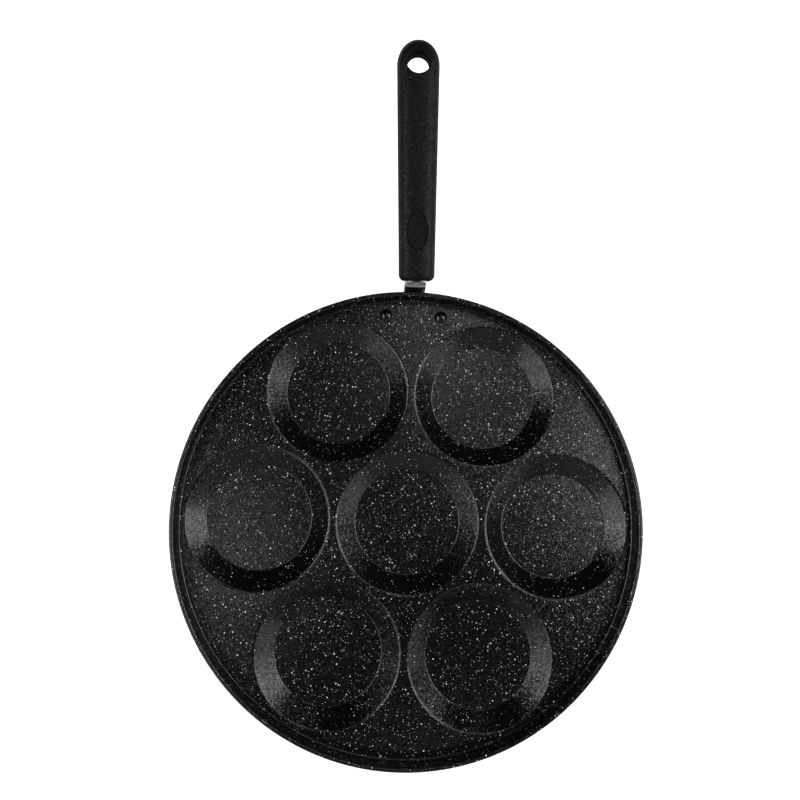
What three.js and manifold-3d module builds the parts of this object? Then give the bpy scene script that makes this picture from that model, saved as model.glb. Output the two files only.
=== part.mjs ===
// Seven-well pancake pan: a pressed aluminium body, a riveted steel bracket and a moulded grip.
// Millimetres and degrees. The pan stands on z = 0 with +Z up, and its handle points along +Y.
// The origin is the middle of the centre well's underside.

import * as THREE from "three";
import { mergeVertices } from "three/addons/utils/BufferGeometryUtils.js";
import Module from "manifold-3d";

const wasm = await Module();
wasm.setup();

// Driving dimensions of the pressed body.
const SHEET = 2.8; // wall of the body, the same all over
const WELL_RADIUS = 42.7; // where a well's rounded edge meets the flat deck
const WELL_DEPTH = 8.8; // deck down to a well's floor
const WELL_SLOPE = 39.5; // steepness of a well's side
const WELL_EDGE_FILLET = 3.0; // rounding from the deck into the side
const WELL_FLOOR_FILLET = 1.2; // rounding from the side into the floor
const WELL_GAP = 1.95; // flat deck left between two neighbouring wells
const OUTER_WELLS = 6; // wells set around the centre one
const LIP_MARGIN = 1.05; // flat deck left between an outer well and the lip's foot
const LIP_FILLET = 1.3; // rounding from the deck into the lip
const LIP_HEIGHT = 10.6; // deck up to the top of the rim

// Driving dimensions of the rivets.
const RIVET_SPACING = 32.9; // between the two rivets
const RIVET_SETBACK = 9.8; // from the inside of the lip to the rivets' line
const RIVET_HEAD_RADIUS = 3.85;
const RIVET_HEAD_HEIGHT = 2.3;
const RIVET_SHANK_RADIUS = 2.3;
const RIVET_TAIL_RADIUS = 3.6;
const RIVET_TAIL_HEIGHT = 1.6;

// Driving dimensions of the handle's bracket.
const STRAP = 2.5; // thickness of the bracket's sheet
const STRAP_WIDTH = 12.6;
const BEND_RADIUS = 2.5; // inside radius of both folds
const EAR_MARGIN = 4.9; // bracket sheet left round a rivet's hole
const RISER_GAP = 1.7; // between the rim and the upright part of the strap
const FOLD_BELOW_RIM = 3.0; // rim's top down to the start of the upper fold
const TANG_LENGTH = 42.0; // strap inside the grip
const HANDLE_PITCH = 12.0; // rise of the tang and the grip

// Driving dimensions of the grip.
const GRIP_LENGTH = 136.1;
const GRIP_FRONT_WIDTH = 21.05;
const GRIP_END_WIDTH = 24.5;
const GRIP_END_ROUND = 14.05; // length of the rounded far end
const GRIP_FRONT_THICKNESS = 15.0;
const GRIP_END_THICKNESS = 16.5;
const GRIP_SQUARENESS = 2.5; // 2 gives an oval section, more gives a squarer one
const GRIP_CORNER = 3.5; // front corners, seen from above
const GRIP_FRONT_EDGE = 1.6; // front edges, seen from the side
const GRIP_FRONT_GAP = 0.15; // end of the upper fold to the grip's front face
const GRIP_TURN = 1.7; // the grip sits this far off the tang's line, turned about its screw
const HANG_HOLE_RADIUS = 7.0; // upper half of the hanging hole
const HANG_HOLE_STEP = 0.4; // how much narrower its lower half is
const HANG_HOLE_CHAMFER = 0.5;
const HANG_HOLE_FROM_END = 13.3; // grip's far end to the middle of the hanging hole
const THUMB_FROM_FRONT = 28.05; // front face to the middle of the thumb rest
const THUMB_LENGTH = 21.5;
const THUMB_WIDTH = 11.8;
const THUMB_DEPTH = 1.1;

// Driving dimensions of the screw that holds the grip, and of its spring washer.
const SCREW_FROM_FRONT = 24.0; // grip's front face to the screw
const SCREW_RADIUS = 2.5;
const SCREW_TIP = 1.5; // screw standing proud of the tang
const SCREW_TIP_CHAMFER = 0.7;
const SCREW_HEAD_RADIUS = 4.3;
const SCREW_HEAD_HEIGHT = 2.4;
const SCREW_HEAD_EDGE = 0.8;
const DRIVE_SLOT_LENGTH = 4.6;
const DRIVE_SLOT_WIDTH = 1.1;
const DRIVE_SLOT_DEPTH = 1.4;
const SEAT_WALL = 2.0; // grip left between the socket and the washer's seat
const WASHER_RADIUS = 4.2;
const WASHER_THICKNESS = 1.2;
const WASHER_SPLIT = 14.0; // opening of the split ring

// Clearances.
const FIT_GAP = 0.3; // round a shank, and round the tang in its socket
const SEAT_GAP = 0.2; // between two flat faces that bear on each other
const HEAD_GAP = 0.8; // round the screw's head and the tip of the screw
const CUT_PAST = 5.0; // how far a cutter runs past the face that it opens

// How finely round forms are faceted.
const RIM_SEGMENTS = 72;
const WELL_SEGMENTS = 36;
const FASTENER_SEGMENTS = 20;
const HOLE_SEGMENTS = 32;
const RIM_STEPS = 6;
const FILLET_STEPS = 3;
const FOLD_STEPS = 6;
const GRIP_RING_POINTS = 36;
const GRIP_BODY_STEPS = 4;
const GRIP_END_STEPS = 8;
const THUMB_STEPS = 10;

// Sizes that follow from the driving dimensions.
const FLOOR_TOP = SHEET;
const DECK_TOP = FLOOR_TOP + WELL_DEPTH;
const DECK_UNDER = DECK_TOP - SHEET;
const RIM_TOP = DECK_TOP + LIP_HEIGHT;
const WELL_PITCH = 2 * WELL_RADIUS + WELL_GAP;
const WELL_RING = WELL_PITCH * Math.max(1, 0.5 / Math.sin(Math.PI / OUTER_WELLS));
const LIP_INSIDE = WELL_RING + WELL_RADIUS + LIP_MARGIN + LIP_FILLET;
const RIM_RADIUS = LIP_INSIDE + SHEET;
const RIVET_X = RIVET_SPACING / 2;
const RIVET_Y = LIP_INSIDE - RIVET_SETBACK;
const RIVET_HOLE_RADIUS = RIVET_SHANK_RADIUS + FIT_GAP;
const PLATE_TOP = DECK_UNDER - SEAT_GAP;
const PLATE_UNDER = PLATE_TOP - STRAP;
const FOLD_RADIUS = BEND_RADIUS + STRAP / 2; // of the sheet's middle line
const RISER_Y = RIM_RADIUS + RISER_GAP + STRAP / 2;
const PITCH = rad(HANDLE_PITCH);
const TANG_DIRECTION = new THREE.Vector2(Math.cos(PITCH), Math.sin(PITCH));
const UPPER_FOLD_START = new THREE.Vector2(RISER_Y, RIM_TOP - FOLD_BELOW_RIM);
const UPPER_FOLD_END = new THREE.Vector2(
  UPPER_FOLD_START.x + FOLD_RADIUS * (1 - Math.sin(PITCH)),
  UPPER_FOLD_START.y + FOLD_RADIUS * Math.cos(PITCH),
);
const TANG_RUN = GRIP_FRONT_GAP + TANG_LENGTH; // straight strap after the upper fold
const SCREW_POINT = UPPER_FOLD_END.clone().addScaledVector(TANG_DIRECTION, GRIP_FRONT_GAP + SCREW_FROM_FRONT);
const SCREW_HOLE_RADIUS = SCREW_RADIUS + FIT_GAP;
const SOCKET_ROOF = STRAP / 2 + FIT_GAP;
const WASHER_SEAT = -SOCKET_ROOF - SEAT_WALL;
const WASHER_TOP = WASHER_SEAT - SEAT_GAP;
const HEAD_TOP = WASHER_TOP - WASHER_THICKNESS - SEAT_GAP;
const SCREW_TOP = STRAP / 2 + SCREW_TIP;
const GRIP_FRONT = -SCREW_FROM_FRONT; // the grip is modelled with its screw at the origin
const GRIP_END = GRIP_FRONT + GRIP_LENGTH;
const BODY_START = GRIP_FRONT + GRIP_CORNER; // the steady taper runs from here
const BODY_END = GRIP_END - GRIP_END_ROUND; // to here
const HANG_HOLE_Y = GRIP_END - HANG_HOLE_FROM_END;
const WELL_SIDE_RUN = WELL_DEPTH / Math.tan(rad(WELL_SLOPE));
const WELL_FLOOR_RADIUS = WELL_RADIUS - WELL_EDGE_FILLET * Math.tan(rad(WELL_SLOPE / 2)) - WELL_SIDE_RUN;
// The sheet's two faces round a well are parallel, so both floor arcs share this centre.
const FLOOR_ARC = new THREE.Vector2(
  WELL_FLOOR_RADIUS - WELL_FLOOR_FILLET * Math.tan(rad(WELL_SLOPE / 2)),
  FLOOR_TOP + WELL_FLOOR_FILLET,
);

function rad(degrees) {
  return THREE.MathUtils.degToRad(degrees);
}

// Points along an arc of a profile, from one angle to another.
function arc(x, y, radius, from, to, steps = FILLET_STEPS) {
  return new THREE.EllipseCurve(x, y, radius, radius, rad(from), rad(to), to < from).getPoints(steps);
}

// A point of a profile.
function at(x, y) {
  return new THREE.Vector2(x, y);
}

// A profile turned about Z; its second coordinate is height.
function revolve(profile, segments) {
  return new THREE.LatheGeometry(profile, segments).rotateX(Math.PI / 2);
}

// A side view, drawn along Y and Z, made solid across X with its middle on x = 0.
function sideExtrusion(shape, width) {
  const geometry = new THREE.ExtrudeGeometry(shape, { depth: width, bevelEnabled: false });
  const [x, y, z] = [new THREE.Vector3(1, 0, 0), new THREE.Vector3(0, 1, 0), new THREE.Vector3(0, 0, 1)];
  return geometry.applyMatrix4(new THREE.Matrix4().makeBasis(y, z, x)).translate(-width / 2, 0, 0);
}

// An upright round bar, used to cut holes.
function bar(radius, low, high) {
  const geometry = new THREE.CylinderGeometry(radius, radius, high - low, HOLE_SEGMENTS);
  return geometry.rotateX(Math.PI / 2).translate(0, 0, (low + high) / 2);
}

// A geometry as a solid that can be joined and cut.
function solid(geometry) {
  const bare = geometry.clone();
  bare.deleteAttribute("normal");
  bare.deleteAttribute("uv");
  const merged = mergeVertices(bare);
  return new wasm.Manifold(
    new wasm.Mesh({
      numProp: 3,
      vertProperties: merged.getAttribute("position").array,
      triVerts: new Uint32Array(merged.index.array),
    }),
  );
}

// A joined or cut solid as a geometry with flat facets.
function facets(body) {
  const { vertProperties, triVerts } = body.getMesh();
  const geometry = new THREE.BufferGeometry();
  geometry.setAttribute("position", new THREE.BufferAttribute(vertProperties, 3));
  geometry.setIndex(new THREE.BufferAttribute(triVerts, 1));
  const flat = geometry.toNonIndexed();
  flat.computeVertexNormals();
  return flat;
}

function piece(name, geometry, finish) {
  const mesh = new THREE.Mesh(geometry, new THREE.MeshStandardMaterial(finish));
  mesh.name = name;
  return mesh;
}

// Centres of all the wells. The handle points between two of the outer ones.
function wellCentres() {
  const centres = [at(0, 0)];
  for (let i = 0; i < OUTER_WELLS; i += 1) {
    const angle = rad(90 + (180 + 360 * i) / OUTER_WELLS);
    centres.push(at(WELL_RING * Math.cos(angle), WELL_RING * Math.sin(angle)));
  }
  return centres;
}

// Space inside a well: floor, rounded foot, sloping side and rounded edge, open upwards.
function wellSpace() {
  return revolve(
    [
      at(0, FLOOR_TOP),
      ...arc(FLOOR_ARC.x, FLOOR_ARC.y, WELL_FLOOR_FILLET, -90, WELL_SLOPE - 90),
      ...arc(WELL_RADIUS, DECK_TOP - WELL_EDGE_FILLET, WELL_EDGE_FILLET, 90 + WELL_SLOPE, 90),
      at(WELL_RADIUS, DECK_TOP + CUT_PAST),
      at(0, DECK_TOP + CUT_PAST),
    ],
    WELL_SEGMENTS,
  );
}

// Outside of a well's cup, which hangs below the deck and ends inside the deck's sheet.
function wellCup() {
  const corner = WELL_FLOOR_FILLET + SHEET;
  const sideFoot = at(
    FLOOR_ARC.x + corner * Math.sin(rad(WELL_SLOPE)),
    FLOOR_ARC.y - corner * Math.cos(rad(WELL_SLOPE)),
  );
  const cupTop = DECK_UNDER + SHEET / 2;
  const cupRadius = sideFoot.x + (cupTop - sideFoot.y) / Math.tan(rad(WELL_SLOPE));
  return revolve(
    [
      at(0, 0),
      ...arc(FLOOR_ARC.x, FLOOR_ARC.y, corner, -90, WELL_SLOPE - 90),
      at(cupRadius, cupTop),
      at(0, cupTop),
    ],
    WELL_SEGMENTS,
  );
}

// Flat deck with its upright lip and half-round rim.
function deckAndLip() {
  const lipFoot = at(LIP_INSIDE - LIP_FILLET, DECK_TOP + LIP_FILLET);
  const rim = at(RIM_RADIUS - SHEET / 2, RIM_TOP - SHEET / 2);
  return revolve(
    [
      at(0, DECK_UNDER),
      ...arc(lipFoot.x, lipFoot.y, LIP_FILLET + SHEET, -90, 0),
      ...arc(rim.x, rim.y, SHEET / 2, 0, 180, RIM_STEPS),
      ...arc(lipFoot.x, lipFoot.y, LIP_FILLET, 0, -90),
      at(0, DECK_TOP),
    ],
    RIM_SEGMENTS,
  );
}

function panBody() {
  let body = solid(deckAndLip());
  const cup = solid(wellCup());
  const space = solid(wellSpace());
  for (const { x, y } of wellCentres()) {
    body = body.add(cup.translate([x, y, 0]));
  }
  for (const { x, y } of wellCentres()) {
    body = body.subtract(space.translate([x, y, 0]));
  }
  const rivetHole = solid(bar(RIVET_HOLE_RADIUS, DECK_UNDER - CUT_PAST, RIM_TOP));
  for (const x of [-RIVET_X, RIVET_X]) {
    body = body.subtract(rivetHole.translate([x, RIVET_Y, 0]));
  }
  return piece("pan_body", facets(body), { color: 0x1d1e20, roughness: 0.45, metalness: 0.1 });
}

// Dome-headed rivet, closed under the bracket by its upset tail.
function rivet(name, x) {
  const headSeat = DECK_TOP + SEAT_GAP;
  const tailSeat = PLATE_UNDER - SEAT_GAP;
  const domeRadius = (RIVET_HEAD_RADIUS ** 2 + RIVET_HEAD_HEIGHT ** 2) / (2 * RIVET_HEAD_HEIGHT);
  const domeCentre = headSeat + RIVET_HEAD_HEIGHT - domeRadius;
  const domeStart = THREE.MathUtils.radToDeg(Math.atan2(headSeat - domeCentre, RIVET_HEAD_RADIUS));
  const tailEdge = RIVET_TAIL_HEIGHT / 2;
  const geometry = revolve(
    [
      at(0, tailSeat - RIVET_TAIL_HEIGHT),
      ...arc(RIVET_TAIL_RADIUS - tailEdge, tailSeat - tailEdge, tailEdge, -90, 0),
      at(RIVET_TAIL_RADIUS, tailSeat),
      at(RIVET_SHANK_RADIUS, tailSeat),
      at(RIVET_SHANK_RADIUS, headSeat),
      ...arc(0, domeCentre, domeRadius, domeStart, 90, RIM_STEPS),
    ],
    FASTENER_SEGMENTS,
  );
  const mesh = piece(name, geometry, { color: 0x101012, roughness: 0.2, metalness: 0.3 });
  mesh.position.set(x, RIVET_Y, 0);
  return mesh;
}

// Side view of a folded strip: straight runs and turns along its middle line, from a level start.
function foldedStrip(start, moves) {
  const point = start.clone();
  const upperEdge = [];
  const lowerEdge = [];
  let heading = 0;
  const mark = () => {
    const across = at(-Math.sin(heading), Math.cos(heading));
    upperEdge.push(point.clone().addScaledVector(across, STRAP / 2));
    lowerEdge.unshift(point.clone().addScaledVector(across, -STRAP / 2));
  };
  mark();
  for (const { run, turn = 0 } of moves) {
    const steps = turn ? FOLD_STEPS : 1;
    const swing = turn / steps;
    const chord = run ?? 2 * FOLD_RADIUS * Math.sin(Math.abs(swing) / 2);
    for (let i = 0; i < steps; i += 1) {
      const way = heading + swing / 2;
      point.add(at(chord * Math.cos(way), chord * Math.sin(way)));
      heading += swing;
      mark();
    }
  }
  return new THREE.Shape([...upperEdge, ...lowerEdge]);
}

// Plate under the deck: an ear round each rivet, drawn in to the strap's width.
function bracketPlate(strapStartY) {
  const ear = RIVET_HOLE_RADIUS + EAR_MARGIN;
  const neck = at(STRAP_WIDTH / 2 - RIVET_X, strapStartY - RIVET_Y);
  const tangent = Math.atan2(neck.y, neck.x) - Math.acos(ear / neck.length());
  const outline = new THREE.Shape();
  outline.moveTo(-STRAP_WIDTH / 2, strapStartY);
  outline.absarc(-RIVET_X, RIVET_Y, ear, Math.PI - tangent, 1.5 * Math.PI, false);
  outline.absarc(RIVET_X, RIVET_Y, ear, 1.5 * Math.PI, 2 * Math.PI + tangent, false);
  outline.lineTo(STRAP_WIDTH / 2, strapStartY);
  const plate = { depth: STRAP, bevelEnabled: false, curveSegments: FASTENER_SEGMENTS / 2 };
  return new THREE.ExtrudeGeometry(outline, plate).translate(0, 0, PLATE_UNDER);
}

// Steel bracket: the plate, an upright outside the rim, and a tang that rises into the grip.
function handleBracket() {
  const start = at(RIVET_Y, PLATE_TOP - STRAP / 2);
  const lowerFoldY = RISER_Y - FOLD_RADIUS;
  const side = foldedStrip(start, [
    { run: lowerFoldY - start.x },
    { turn: Math.PI / 2 },
    { run: UPPER_FOLD_START.y - start.y - FOLD_RADIUS },
    { turn: PITCH - Math.PI / 2 },
    { run: TANG_RUN },
  ]);
  let body = solid(bracketPlate(lowerFoldY)).add(solid(sideExtrusion(side, STRAP_WIDTH)));
  const rivetHole = solid(bar(RIVET_HOLE_RADIUS, PLATE_UNDER - CUT_PAST, DECK_TOP));
  for (const x of [-RIVET_X, RIVET_X]) {
    body = body.subtract(rivetHole.translate([x, RIVET_Y, 0]));
  }
  const screwHole = bar(SCREW_HOLE_RADIUS, -CUT_PAST, CUT_PAST);
  screwHole.rotateX(PITCH).translate(0, SCREW_POINT.x, SCREW_POINT.y);
  body = body.subtract(solid(screwHole));
  return piece("handle_bracket", facets(body), { color: 0xb9b7b2, roughness: 0.3, metalness: 1 });
}

// Closed skin through a row of rings with equal numbers of points, ending in two single points.
function loft(first, rings, last) {
  const count = rings[0].length;
  const points = [first, ...rings.flat(), last];
  const end = points.length - 1;
  const faces = [];
  for (let i = 0; i < count; i += 1) {
    const next = (i + 1) % count;
    faces.push(0, 1 + i, 1 + next);
    for (let row = 0; row < rings.length - 1; row += 1) {
      const near = 1 + row * count;
      const far = near + count;
      faces.push(near + i, far + next, near + next, near + i, far + i, far + next);
    }
    faces.push(end, end - count + next, end - count + i);
  }
  return new THREE.BufferGeometry().setFromPoints(points).setIndex(faces);
}

// How high a rounded-square quarter stands over a share of its half-width.
function squaredQuarter(share) {
  return (1 - Math.min(1, share) ** GRIP_SQUARENESS) ** (1 / GRIP_SQUARENESS);
}

// Half the grip's width and thickness at a distance along it, past its front corners.
function gripHalf(y) {
  const frontHalf = at(GRIP_FRONT_WIDTH / 2, GRIP_FRONT_THICKNESS / 2);
  const endHalf = at(GRIP_END_WIDTH / 2, GRIP_END_THICKNESS / 2);
  if (y <= BODY_END) {
    return frontHalf.lerp(endHalf, (y - BODY_START) / (BODY_END - BODY_START));
  }
  const past = Math.min(1, (y - BODY_END) / GRIP_END_ROUND);
  return at(endHalf.x * Math.sqrt(1 - past ** 2), endHalf.y * squaredQuarter(past));
}

// Height of the grip's top face over its middle plane.
function crownHeight(x, y) {
  const half = gripHalf(y);
  return half.x > Math.abs(x) ? half.y * squaredQuarter(Math.abs(x) / half.x) : 0;
}

// A rounded-square ring of the grip, at a distance along it.
function gripRing(y, halfWidth, halfThickness) {
  const ring = [];
  const power = 2 / GRIP_SQUARENESS;
  for (let i = 0; i < GRIP_RING_POINTS; i += 1) {
    const angle = (2 * Math.PI * i) / GRIP_RING_POINTS;
    const x = halfWidth * Math.sign(Math.cos(angle)) * Math.abs(Math.cos(angle)) ** power;
    const z = halfThickness * Math.sign(Math.sin(angle)) * Math.abs(Math.sin(angle)) ** power;
    ring.push(new THREE.Vector3(x, y, z));
  }
  return ring;
}

// Outer form of the grip: rounded front corners, a steady taper and a rounded far end.
function gripBlank() {
  const rings = [];
  const addRing = (y) => {
    const half = gripHalf(y);
    rings.push(gripRing(y, half.x, half.y));
  };
  const frontHalf = gripHalf(BODY_START);
  for (let i = 0; i <= FILLET_STEPS; i += 1) {
    const angle = (Math.PI / 2) * (i / FILLET_STEPS);
    const inset = 1 - Math.sin(angle);
    const y = GRIP_FRONT + GRIP_CORNER * (1 - Math.cos(angle));
    rings.push(gripRing(y, frontHalf.x - GRIP_CORNER * inset, frontHalf.y - GRIP_FRONT_EDGE * inset));
  }
  for (let i = 1; i <= GRIP_BODY_STEPS; i += 1) {
    addRing(THREE.MathUtils.lerp(BODY_START, BODY_END, i / GRIP_BODY_STEPS));
  }
  for (let i = 1; i < GRIP_END_STEPS; i += 1) {
    addRing(BODY_END + GRIP_END_ROUND * Math.sin((Math.PI / 2) * (i / GRIP_END_STEPS)));
  }
  const front = new THREE.Vector3(0, GRIP_FRONT, 0);
  const tip = new THREE.Vector3(0, GRIP_END, 0);
  return loft(front, rings, tip);
}

// Slot for the tang, wide enough for the grip's turn about its screw.
function tangSocket() {
  const reach = TANG_LENGTH + FIT_GAP;
  const longerArm = Math.max(SCREW_FROM_FRONT, reach - SCREW_FROM_FRONT);
  const width = STRAP_WIDTH + 2 * (FIT_GAP + longerArm * Math.tan(rad(GRIP_TURN)));
  const length = reach + CUT_PAST;
  const socket = new THREE.BoxGeometry(width, length, 2 * SOCKET_ROOF);
  return socket.translate(0, GRIP_FRONT + reach - length / 2, 0);
}

// Hanging hole, moulded by two pins that meet half-way. Its chamfer follows the grip's crown.
function hangingHole() {
  const past = GRIP_END_THICKNESS / 2 + CUT_PAST;
  const lowRadius = HANG_HOLE_RADIUS - HANG_HOLE_STEP;
  const wideRadius = HANG_HOLE_RADIUS + 2 * HANG_HOLE_CHAMFER;
  const ring = (radius, height) => {
    const points = [];
    for (let i = 0; i < HOLE_SEGMENTS; i += 1) {
      const way = at(1, 0).rotateAround(at(0, 0), (2 * Math.PI * i) / HOLE_SEGMENTS);
      const crown = crownHeight(HANG_HOLE_RADIUS * way.x, HANG_HOLE_Y + HANG_HOLE_RADIUS * way.y);
      points.push(new THREE.Vector3(radius * way.x, HANG_HOLE_Y + radius * way.y, height(crown)));
    }
    return points;
  };
  const rings = [
    ring(wideRadius, () => past),
    ring(wideRadius, (crown) => crown + HANG_HOLE_CHAMFER),
    ring(HANG_HOLE_RADIUS, (crown) => crown - HANG_HOLE_CHAMFER),
    ring(HANG_HOLE_RADIUS, () => 0),
    ring(lowRadius, () => 0),
    ring(lowRadius, () => -past),
  ];
  return loft(new THREE.Vector3(0, HANG_HOLE_Y, past), rings, new THREE.Vector3(0, HANG_HOLE_Y, -past));
}

// Thumb rest: an oval whose floor dips along the grip, deepest in its middle.
function thumbRest() {
  const crown = crownHeight(0, GRIP_FRONT + THUMB_FROM_FRONT);
  const half = THUMB_LENGTH / 2;
  const outline = new THREE.Shape().absellipse(0, 0, THUMB_WIDTH / 2, half, 0, 2 * Math.PI);
  const oval = new THREE.ExtrudeGeometry(outline, { depth: crown + CUT_PAST, bevelEnabled: false });
  const dipRadius = (half ** 2 + THUMB_DEPTH ** 2) / (2 * THUMB_DEPTH);
  const dipSpan = THREE.MathUtils.radToDeg(Math.asin(half / dipRadius));
  const dip = new THREE.Shape([
    ...arc(0, crown - THUMB_DEPTH + dipRadius, dipRadius, -90 - dipSpan, -90 + dipSpan, THUMB_STEPS),
    at(half, crown + CUT_PAST),
    at(-half, crown + CUT_PAST),
  ]);
  const scoop = solid(oval).intersect(solid(sideExtrusion(dip, 2 * THUMB_WIDTH)));
  return scoop.translate([0, GRIP_FRONT + THUMB_FROM_FRONT, 0]);
}

// Counterbore, screw hole and room for the screw's tip, all on the screw's axis.
function screwPassage() {
  const below = -GRIP_END_THICKNESS - CUT_PAST;
  const headRoom = Math.max(SCREW_HEAD_RADIUS, WASHER_RADIUS) + HEAD_GAP;
  const counterbore = solid(bar(headRoom, below, WASHER_SEAT));
  return counterbore.add(solid(bar(SCREW_HOLE_RADIUS, below, SCREW_TOP + HEAD_GAP)));
}

function handleGrip() {
  let body = solid(gripBlank());
  body = body.subtract(solid(tangSocket()));
  body = body.subtract(solid(hangingHole()));
  body = body.subtract(thumbRest());
  body = body.subtract(screwPassage());
  return piece("handle_grip", facets(body), { color: 0x232325, roughness: 0.65, metalness: 0 });
}

// Pan-head screw with a cross slot, driven up through the grip into the tang.
function handleScrew() {
  const headLow = HEAD_TOP - SCREW_HEAD_HEIGHT;
  const shank = revolve(
    [
      at(0, headLow),
      ...arc(SCREW_HEAD_RADIUS - SCREW_HEAD_EDGE, headLow + SCREW_HEAD_EDGE, SCREW_HEAD_EDGE, -90, 0),
      at(SCREW_HEAD_RADIUS, HEAD_TOP),
      at(SCREW_RADIUS, HEAD_TOP),
      at(SCREW_RADIUS, SCREW_TOP - SCREW_TIP_CHAMFER),
      at(SCREW_RADIUS - SCREW_TIP_CHAMFER, SCREW_TOP),
      at(0, SCREW_TOP),
    ],
    FASTENER_SEGMENTS,
  );
  let body = solid(shank);
  for (const [width, length] of [
    [DRIVE_SLOT_WIDTH, DRIVE_SLOT_LENGTH],
    [DRIVE_SLOT_LENGTH, DRIVE_SLOT_WIDTH],
  ]) {
    const slot = new THREE.BoxGeometry(width, length, 2 * DRIVE_SLOT_DEPTH);
    body = body.subtract(solid(slot.translate(0, 0, headLow)));
  }
  return piece("handle_screw", facets(body), { color: 0xb5b5b2, roughness: 0.35, metalness: 1 });
}

// Split spring washer between the screw's head and its seat in the grip.
function springWasher() {
  const half = rad(WASHER_SPLIT / 2);
  const outline = new THREE.Shape();
  outline.absarc(0, 0, WASHER_RADIUS, half, 2 * Math.PI - half, false);
  outline.absarc(0, 0, SCREW_HOLE_RADIUS, 2 * Math.PI - half, half, true);
  const ring = { depth: WASHER_THICKNESS, bevelEnabled: false, curveSegments: FASTENER_SEGMENTS };
  const geometry = new THREE.ExtrudeGeometry(outline, ring);
  geometry.translate(0, 0, WASHER_TOP - WASHER_THICKNESS);
  return piece("spring_washer", geometry, { color: 0x8f8f8c, roughness: 0.4, metalness: 1 });
}

// The grip with its fixing, set on the tang at the screw's place.
function handle() {
  const group = new THREE.Group();
  group.add(handleGrip(), handleScrew(), springWasher());
  group.position.set(0, SCREW_POINT.x, SCREW_POINT.y);
  group.rotation.set(PITCH, 0, rad(GRIP_TURN), "XYZ");
  return group;
}

const pan = new THREE.Group();
pan.add(panBody(), handleBracket(), rivet("rivet_left", -RIVET_X), rivet("rivet_right", RIVET_X), handle());

export default pan;
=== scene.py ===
import math

import bmesh
import bpy
from mathutils import Matrix, Vector


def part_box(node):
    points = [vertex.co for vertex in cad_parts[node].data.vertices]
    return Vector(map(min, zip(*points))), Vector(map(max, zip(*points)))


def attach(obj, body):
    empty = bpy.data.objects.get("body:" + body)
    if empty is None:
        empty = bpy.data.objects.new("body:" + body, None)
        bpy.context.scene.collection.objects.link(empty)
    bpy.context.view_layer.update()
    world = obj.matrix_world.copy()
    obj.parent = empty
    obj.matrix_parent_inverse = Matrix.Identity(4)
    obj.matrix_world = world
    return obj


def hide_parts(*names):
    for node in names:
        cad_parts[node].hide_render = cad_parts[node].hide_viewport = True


# Looks of a seven-well pancake pan. Metres, +Z up, the handle along +Y, the origin under the centre well.
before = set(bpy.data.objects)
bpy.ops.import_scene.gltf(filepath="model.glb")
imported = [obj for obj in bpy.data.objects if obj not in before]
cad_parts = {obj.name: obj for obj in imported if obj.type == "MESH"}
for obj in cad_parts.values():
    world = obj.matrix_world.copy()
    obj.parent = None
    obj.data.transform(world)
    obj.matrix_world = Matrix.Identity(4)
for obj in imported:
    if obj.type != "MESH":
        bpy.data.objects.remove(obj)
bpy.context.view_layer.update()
MM = 0.001

# Pressed body.
SHEET = 2.8 * MM
WELL_RADIUS = 42.7 * MM
WELL_DEPTH = 8.8 * MM
WELL_SLOPE = 39.5  # degrees
WELL_EDGE_FILLET = 3.0 * MM
WELL_FLOOR_FILLET = 1.2 * MM
WELL_RING = 87.35 * MM
OUTER_WELLS = 6
LIP_FILLET = 1.3 * MM
FLAT_BORDER = 0.4 * MM  # flat ring kept round each rounded edge, so that the flats shade flat
RIM_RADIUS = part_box("pan_body")[1].x
RIM_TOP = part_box("pan_body")[1].z
DECK_TOP = SHEET + WELL_DEPTH
DECK_UNDER = DECK_TOP - SHEET
LIP_FOOT = RIM_RADIUS - SHEET - LIP_FILLET

# Rivets.
RIVET_LOW, RIVET_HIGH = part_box("rivet_right")
RIVET_PLACE = (RIVET_LOW + RIVET_HIGH) / 2
RIVET_HEAD_RADIUS = (RIVET_HIGH.x - RIVET_LOW.x) / 2
RIVET_HEAD_HEIGHT = 2.3 * MM
RIVET_SHANK_RADIUS = 2.3 * MM
RIVET_TAIL_RADIUS = 3.6 * MM
RIVET_TAIL_HEIGHT = 1.6 * MM
RIVET_HOLE_RADIUS = 2.6 * MM
RIVET_LINE = {
    "Rivets": 2,
    "First Rivet": (-RIVET_PLACE.x, RIVET_PLACE.y, 0.0),
    "Rivet Spacing": (2 * RIVET_PLACE.x, 0.0, 0.0),
}

# Bracket.
STRAP = 2.5 * MM
STRAP_WIDTH = 12.6 * MM
STRAP_EDGE = 0.3 * MM  # rounding of the sheared edges
FOLD_RADIUS = 3.75 * MM  # of the sheet's middle line
EAR_RADIUS = 7.5 * MM
PLATE_TOP = DECK_UNDER - 0.2 * MM
RISER_Y = RIM_RADIUS + 1.7 * MM + STRAP / 2
UPPER_FOLD_Z = RIM_TOP - 3.0 * MM
TANG_LENGTH = 42.0 * MM
HANDLE_PITCH = math.radians(12.0)
# Directions in Y and Z, as seen from the side.
TANG_DIRECTION = Vector((math.cos(HANDLE_PITCH), math.sin(HANDLE_PITCH)))
TANG_NORMAL = Vector((-TANG_DIRECTION.y, TANG_DIRECTION.x))
UPPER_FOLD_CENTRE = Vector((RISER_Y + FOLD_RADIUS, UPPER_FOLD_Z))
UPPER_FOLD_END = UPPER_FOLD_CENTRE + FOLD_RADIUS * TANG_NORMAL

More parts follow.
